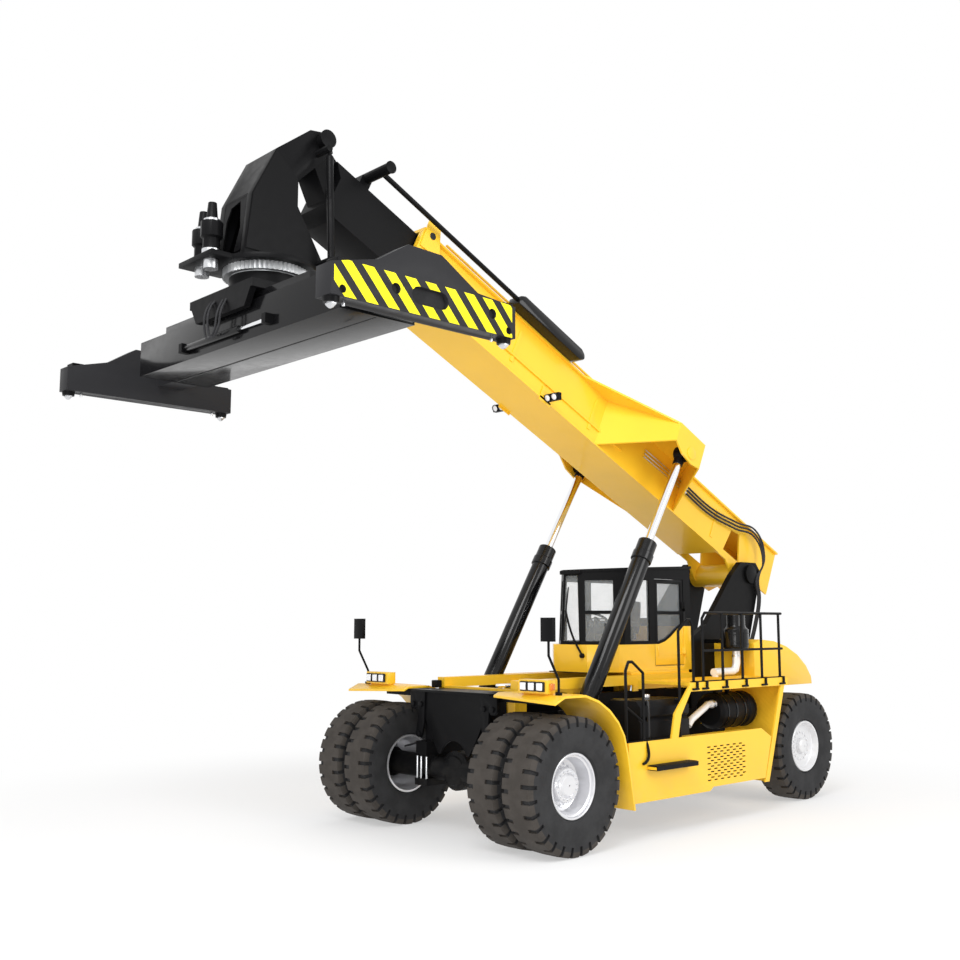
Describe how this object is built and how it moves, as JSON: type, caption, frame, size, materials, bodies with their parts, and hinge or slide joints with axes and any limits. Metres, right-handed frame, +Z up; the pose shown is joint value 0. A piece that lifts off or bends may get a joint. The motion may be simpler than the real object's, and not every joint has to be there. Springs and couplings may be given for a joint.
{
  "type": "container reach stacker",
  "caption": "Container reach stacker: carrier on twin front tyres and steered rear wheels, telescopic lifting boom, rotating spreader with end beams and twistlocks.",
  "frame": {"origin": "on the ground under the middle of the whole machine: half way between the spreader's front and the boom's rear end, on the middle plane", "axes": "+Z up, the machine's front and its spreader face -Y, its left side is +X"},
  "size_m": [6.06, 11.6484, 8.8298],
  "materials": {
    "yellow_paint": "gloss",
    "black_paint": "satin",
    "tyre_rubber": "matte",
    "silver_rim": "satin",
    "white_rim": "satin",
    "bright_steel": "brushed",
    "hard_chrome": "polished",
    "seat_cloth": "woven"
  },
  "bodies": {
    "chassis": {"fender_left": "yellow_paint", "skirt_left": "yellow_paint", "deck_left": "yellow_paint", "lights_left": "yellow_paint", "mirror_left": "black_paint", "tank_left": "black_paint", "fender_right": "yellow_paint", "skirt_right": "yellow_paint", "deck_right": "yellow_paint", "lights_right": "yellow_paint", "mirror_right": "black_paint", "tank_right": "black_paint", "chassis_frame": "black_paint", "front_plate": "black_paint", "drive_axle": "black_paint", "boom_tower": "black_paint", "engine": "black_paint", "steer_axle": "black_paint", "muffler": "black_paint", "air_cleaner": "black_paint", "handrail_left": "black_paint", "counterweight": "yellow_paint", "cab_rails": "yellow_paint", "exhaust_pipe": "bright_steel", "intake_pipe": "bright_steel"},
    "cab": {"cab_body": "yellow_paint", "cab_frame": "black_paint", "cab_seat": "seat_cloth", "cab_controls": "black_paint"},
    "cab_door": {"cab_door": "yellow_paint", "cab_door_frame": "black_paint"},
    "boom": {"boom_outer": "yellow_paint", "guide_tray_left": "black_paint", "guide_tray_right": "black_paint"},
    "boom_inner": {"boom_inner": "black_paint"},
    "yoke": {"yoke": "black_paint"},
    "rotator": {"rotator": "bright_steel"},
    "spreader_beam": {"spreader_beam": "black_paint"},
    "wheel_front_left": {"tyre_front_left_outer": "tyre_rubber", "tyre_front_left_inner": "tyre_rubber", "rim_front_left": "silver_rim"},
    "knuckle_left": {"knuckle_left": "black_paint"},
    "wheel_rear_left": {"tyre_rear_left": "tyre_rubber", "rim_rear_left": "white_rim"},
    "hoist_barrel_left": {"hoist_barrel_left": "black_paint"},
    "hoist_rod_left": {"hoist_rod_left": "hard_chrome"},
    "spreader_end_left": {"spreader_end_left": "black_paint"},
    "twistlock_left_front": {"twistlock_left_front": "bright_steel"},
    "twistlock_left_rear": {"twistlock_left_rear": "bright_steel"},
    "wheel_front_right": {"tyre_front_right_outer": "tyre_rubber", "tyre_front_right_inner": "tyre_rubber", "rim_front_right": "silver_rim"},
    "knuckle_right": {"knuckle_right": "black_paint"},
    "wheel_rear_right": {"tyre_rear_right": "tyre_rubber", "rim_rear_right": "white_rim"},
    "hoist_barrel_right": {"hoist_barrel_right": "black_paint"},
    "hoist_rod_right": {"hoist_rod_right": "hard_chrome"},
    "spreader_end_right": {"spreader_end_right": "black_paint"},
    "twistlock_right_front": {"twistlock_right_front": "bright_steel"},
    "twistlock_right_rear": {"twistlock_right_rear": "bright_steel"}
  },
  "joints": [
    {"name": "luff", "type": "hinge", "parent": "chassis", "child": "boom", "pos_m": [0, 4.66582, 3.6], "axis": [-1, 0, 0], "range_deg": [-22, 33]},
    {"name": "telescope", "type": "slide", "parent": "boom", "child": "boom_inner", "axis": [0, 0.9041, -0.4274], "range_m": [-6.5, 0]},
    {"name": "head_swing", "type": "hinge", "parent": "boom_inner", "child": "yoke", "pos_m": [0, -4.07076, 8.68101], "axis": [1, 0, 0], "range_deg": [-22, 33]},
    {"name": "slew", "type": "hinge", "parent": "yoke", "child": "rotator", "pos_m": [0, -4.61418, 6.9], "axis": [0, 0, 1], "range_deg": [-105, 195]},
    {"name": "side_shift", "type": "slide", "parent": "rotator", "child": "spreader_beam", "axis": [1, 0, 0], "range_m": [-0.8, 0.8]},
    {"name": "spreader_left", "type": "slide", "parent": "spreader_beam", "child": "spreader_end_left", "axis": [1, 0, 0], "range_m": [0, 3.05]},
    {"name": "spreader_right", "type": "slide", "parent": "spreader_beam", "child": "spreader_end_right", "axis": [-1, 0, 0], "range_m": [0, 3.05]},
    {"name": "lock_left_front", "type": "hinge", "parent": "spreader_end_left", "child": "twistlock_left_front", "pos_m": [2.9265, -5.74367, 5.75], "axis": [0, 0, 1], "range_deg": [0, 90]},
    {"name": "lock_left_rear", "type": "hinge", "parent": "spreader_end_left", "child": "twistlock_left_rear", "pos_m": [2.9265, -3.48468, 5.75], "axis": [0, 0, 1], "range_deg": [0, 90]},
    {"name": "lock_right_front", "type": "hinge", "parent": "spreader_end_right", "child": "twistlock_right_front", "pos_m": [-2.9265, -5.74367, 5.75], "axis": [0, 0, 1], "range_deg": [0, 90]},
    {"name": "lock_right_rear", "type": "hinge", "parent": "spreader_end_right", "child": "twistlock_right_rear", "pos_m": [-2.9265, -3.48468, 5.75], "axis": [0, 0, 1], "range_deg": [0, 90]},
    {"name": "hoist_tilt_left", "type": "hinge", "parent": "chassis", "child": "hoist_barrel_left", "pos_m": [1.01, -0.33417, 1.2], "axis": [-1, 0, 0], "range_deg": [-3, 4]},
    {"name": "hoist_stroke_left", "type": "slide", "parent": "hoist_barrel_left", "child": "hoist_rod_left", "axis": [0, 0.5287, 0.8488], "range_m": [-1.12, 1.67]},
    {"name": "hoist_tilt_right", "type": "hinge", "parent": "chassis", "child": "hoist_barrel_right", "pos_m": [-1.01, -0.33417, 1.2], "axis": [-1, 0, 0], "range_deg": [-3, 4]},
    {"name": "hoist_stroke_right", "type": "slide", "parent": "hoist_barrel_right", "child": "hoist_rod_right", "axis": [0, 0.5287, 0.8488], "range_m": [-1.12, 1.67]},
    {"name": "cab_slide", "type": "slide", "parent": "chassis", "child": "cab", "axis": [0, 1, 0], "range_m": [-1.2, 0]},
    {"name": "cab_door_swing", "type": "hinge", "parent": "cab", "child": "cab_door", "pos_m": [0.676, 2.68982, 2.06], "axis": [0, 0, 1], "range_deg": [0, 90]},
    {"name": "steer_left", "type": "hinge", "parent": "chassis", "child": "knuckle_left", "pos_m": [1.02, 4.56583, 0.83], "axis": [0, 0, 1], "range_deg": [-50, 50]},
    {"name": "steer_right", "type": "hinge", "parent": "chassis", "child": "knuckle_right", "pos_m": [-1.02, 4.56583, 0.83], "axis": [0, 0, 1], "range_deg": [-50, 50]},
    {"name": "wheel_front_left", "type": "hinge", "parent": "chassis", "child": "wheel_front_left", "pos_m": [1.545, -1.43417, 0.83], "axis": [1, 0, 0], "continuous": true},
    {"name": "wheel_rear_left", "type": "hinge", "parent": "knuckle_left", "child": "wheel_rear_left", "pos_m": [1.395, 4.56583, 0.83], "axis": [1, 0, 0], "continuous": true},
    {"name": "wheel_front_right", "type": "hinge", "parent": "chassis", "child": "wheel_front_right", "pos_m": [-1.545, -1.43417, 0.83], "axis": [1, 0, 0], "continuous": true},
    {"name": "wheel_rear_right", "type": "hinge", "parent": "knuckle_right", "child": "wheel_rear_right", "pos_m": [-1.395, 4.56583, 0.83], "axis": [1, 0, 0], "continuous": true}
  ],
  "couplings": [
    {"joint": "spreader_right", "follows": "spreader_left", "ratio": 1},
    {"joint": "lock_left_rear", "follows": "lock_left_front", "ratio": 1},
    {"joint": "lock_right_front", "follows": "lock_left_front", "ratio": 1},
    {"joint": "lock_right_rear", "follows": "lock_left_front", "ratio": 1},
    {"joint": "hoist_tilt_left", "follows": "luff", "ratio": 0.09},
    {"joint": "hoist_stroke_left", "follows": "luff", "m_per_rad": 2.87},
    {"joint": "hoist_tilt_right", "follows": "luff", "ratio": 0.09},
    {"joint": "hoist_stroke_right", "follows": "luff", "m_per_rad": 2.87},
    {"joint": "steer_right", "follows": "steer_left", "ratio": 1}
  ]
}
